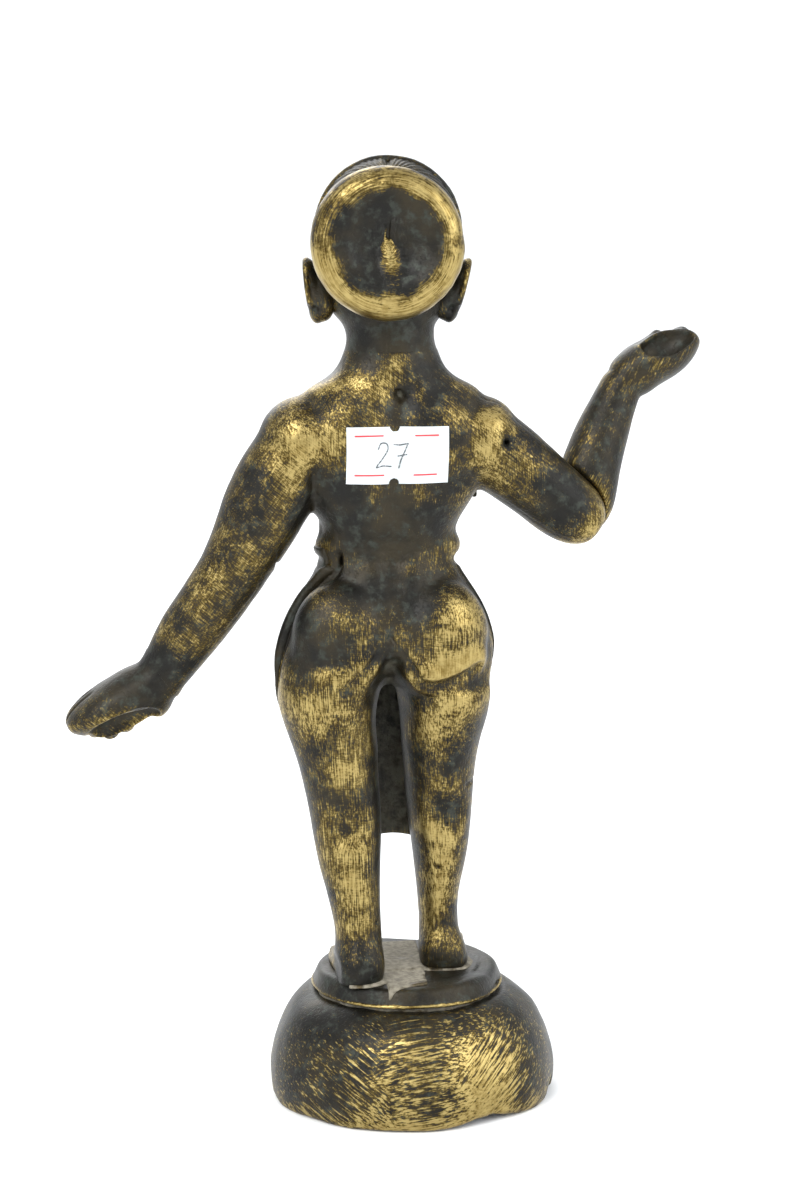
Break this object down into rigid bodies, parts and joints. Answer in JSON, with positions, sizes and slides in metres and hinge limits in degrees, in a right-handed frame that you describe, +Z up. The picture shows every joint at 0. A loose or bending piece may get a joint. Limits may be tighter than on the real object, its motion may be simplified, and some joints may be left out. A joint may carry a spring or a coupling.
{
  "type": "standing figure statuette",
  "caption": "Small aged-brass devotional figure standing on a hollow round pedestal, with an arm lowered and an arm raised.",
  "frame": {"origin": "centre of the pedestal's foot, on the surface it stands on", "axes": "+Z up; the figure faces -Y; its left hand is on the +X side"},
  "size_m": [0.1392, 0.0626, 0.203],
  "materials": {
    "aged_brass": "dark patina rubbed back to satin brass on the high places",
    "solder": "dull braze metal with dust",
    "paper": "matt white paper with red rules"
  },
  "bodies": {
    "root": {"pedestal_dome": "aged_brass", "pedestal_tier": "aged_brass", "tier_solder": "solder", "left_leg": "aged_brass", "right_leg": "aged_brass", "foot_solder": "solder", "hips": "aged_brass", "torso": "aged_brass", "price_label": "paper", "core_plugs": "aged_brass", "left_hand": "aged_brass", "left_arm": "aged_brass", "right_hand": "aged_brass", "right_forearm": "aged_brass", "right_upper_arm": "aged_brass", "head": "aged_brass", "hair_bun": "aged_brass", "head_band": "aged_brass", "left_ear": "aged_brass", "right_ear": "aged_brass", "waist_band": "aged_brass", "chest_cloth": "aged_brass", "hip_wrap": "aged_brass", "center_pleat": "aged_brass"}
  },
  "joints": []
}
